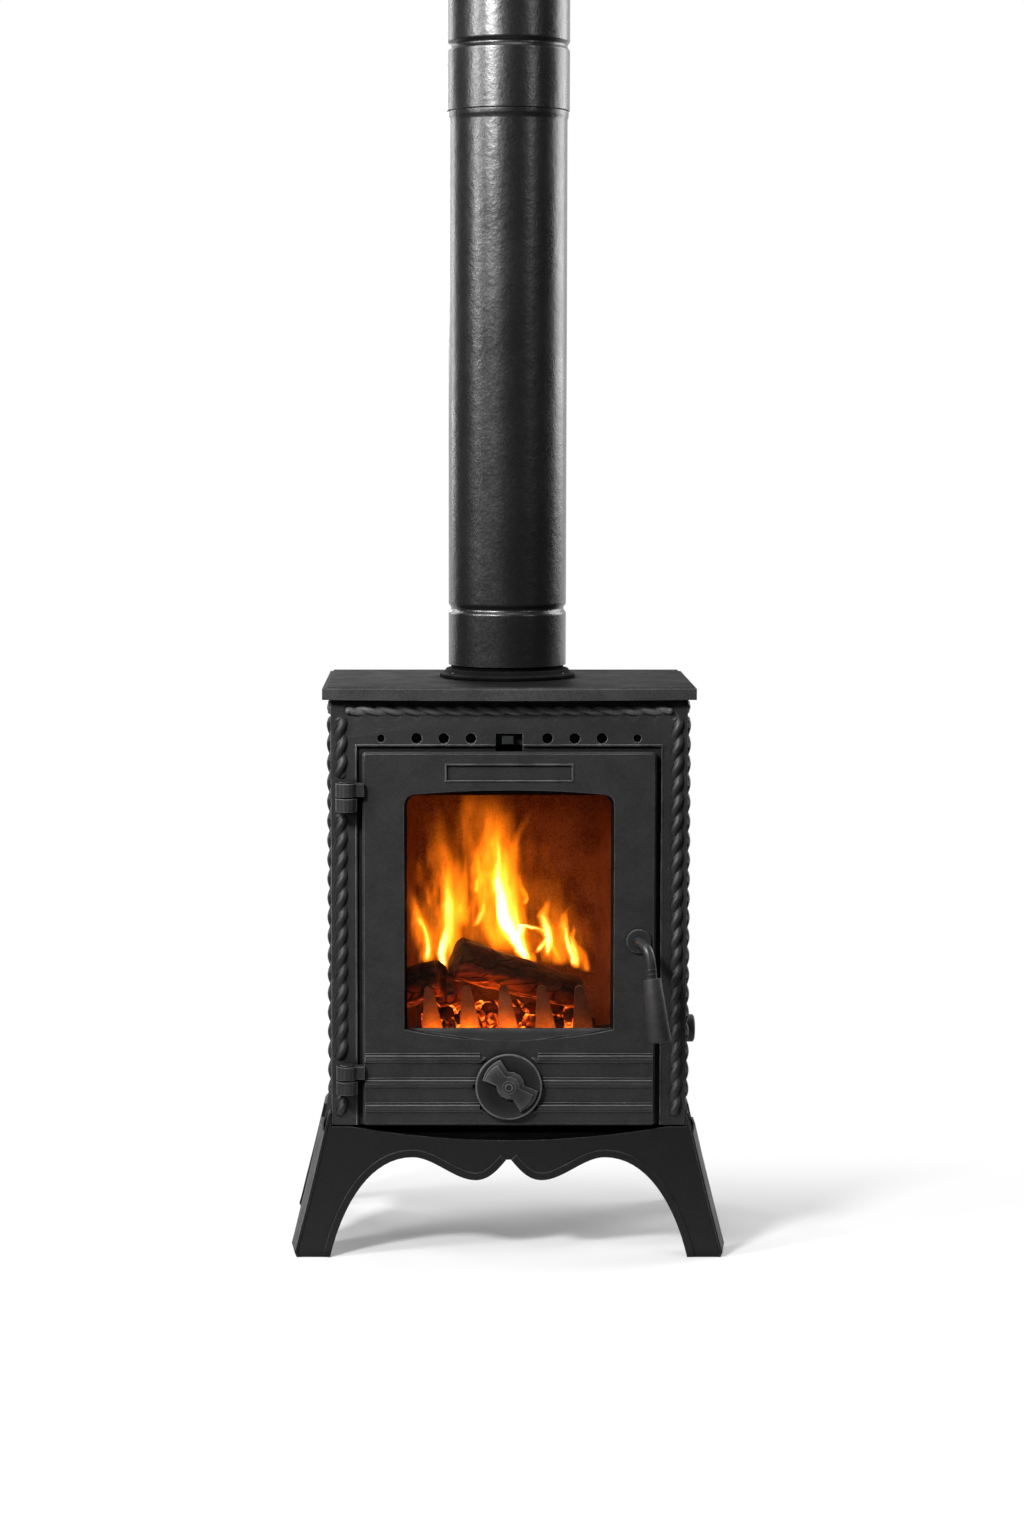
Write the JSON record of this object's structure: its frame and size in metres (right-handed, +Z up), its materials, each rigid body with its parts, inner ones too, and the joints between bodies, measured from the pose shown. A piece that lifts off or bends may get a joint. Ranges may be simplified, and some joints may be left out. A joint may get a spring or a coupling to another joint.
{
  "type": "wood stove",
  "caption": "Small upright cast iron wood stove with rope-edged panels, a glazed hinged door, sliding and turning air controls, splayed legs and a round flue pipe.",
  "frame": {"origin": "on the floor, under the centre of the bounding box with the handle hanging at rest", "axes": "+X to the right as seen from the front, the door faces -Y, +Z up along the flue pipe"},
  "size_m": [0.4622, 0.3178, 1.4399],
  "materials": {
    "cast_iron": "matt black stove paint on sand-cast iron",
    "enamelled_steel": "black vitreous-enamelled flue pipe, satin",
    "fired_iron": "bare iron browned and sooted by the fire",
    "fire_brick": "matt vermiculite firebrick",
    "ceramic_glass": "clear heat-resistant glass",
    "seal_rope": "knitted glass-fibre rope, dark grey",
    "rod_steel": "blackened steel rod, satin",
    "grip_coat": "dark grey heat-resistant coating, fine texture",
    "zinc_steel": "dulled zinc-plated steel"
  },
  "bodies": {
    "stove": {"base_plate": "cast_iron", "front_frame": "cast_iron", "left_side_panel": "cast_iron", "right_side_panel": "cast_iron", "rear_panel": "cast_iron", "top_plate": "cast_iron", "front_legs": "cast_iron", "rear_legs": "cast_iron", "rear_outlet_cover": "cast_iron", "rear_cover_bolt_left": "zinc_steel", "rear_cover_bolt_right": "zinc_steel", "flue_collar": "cast_iron", "flue_pipe_lower": "enamelled_steel", "flue_pipe_upper": "enamelled_steel", "grate_bed": "fired_iron", "log_guard": "fired_iron", "left_firebrick": "fire_brick", "right_firebrick": "fire_brick", "rear_firebrick": "fire_brick", "baffle_plate": "fired_iron", "ash_pan": "zinc_steel", "hinge_pin_upper": "rod_steel", "hinge_pin_lower": "rod_steel", "hinge_washer_upper": "zinc_steel", "hinge_washer_lower": "zinc_steel", "collar_bolt_1": "zinc_steel", "collar_bolt_2": "zinc_steel", "collar_bolt_3": "zinc_steel", "air_slide_screw_left": "zinc_steel", "air_slide_nut_left": "zinc_steel", "air_slide_screw_right": "zinc_steel", "air_slide_nut_right": "zinc_steel", "tie_bolt_1": "zinc_steel", "tie_bolt_2": "zinc_steel", "tie_bolt_3": "zinc_steel", "tie_bolt_4": "zinc_steel"},
    "door": {"door": "cast_iron", "window_glass": "ceramic_glass", "glass_tape": "seal_rope", "door_rope_seal": "seal_rope", "air_dial_screw": "zinc_steel", "air_dial_spacer": "zinc_steel", "latch_spacer": "zinc_steel", "glass_clip_1": "zinc_steel", "glass_clip_screw_1": "zinc_steel", "glass_clip_2": "zinc_steel", "glass_clip_screw_2": "zinc_steel", "glass_clip_3": "zinc_steel", "glass_clip_screw_3": "zinc_steel", "glass_clip_4": "zinc_steel", "glass_clip_screw_4": "zinc_steel"},
    "dial": {"air_dial": "cast_iron"},
    "handle": {"handle_rod": "rod_steel", "handle_grip": "grip_coat", "latch_cam": "cast_iron", "latch_nut": "zinc_steel"},
    "air_slide": {"air_slide": "zinc_steel"},
    "riddler": {"riddling_grate": "fired_iron", "riddling_rod": "rod_steel", "riddling_knob": "grip_coat"}
  },
  "joints": [
    {"name": "door_hinge", "type": "hinge", "parent": "stove", "child": "door", "pos_m": [-0.168, -0.10411, 0.334], "axis": [0, 0, -1], "range_deg": [0, 110]},
    {"name": "handle_turn", "type": "hinge", "parent": "door", "child": "handle", "pos_m": [0.134, -0.10161, 0.33183], "axis": [0, -1, 0], "range_deg": [0, 80]},
    {"name": "dial_spin", "type": "hinge", "parent": "door", "child": "dial", "pos_m": [0, -0.10511, 0.18], "axis": [0, -1, 0], "continuous": true},
    {"name": "top_air_slide", "type": "slide", "parent": "stove", "child": "air_slide", "axis": [1, 0, 0], "range_m": [-0.006, 0.006]},
    {"name": "grate_riddle", "type": "slide", "parent": "stove", "child": "riddler", "axis": [1, 0, 0], "range_m": [0, 0.02]}
  ]
}
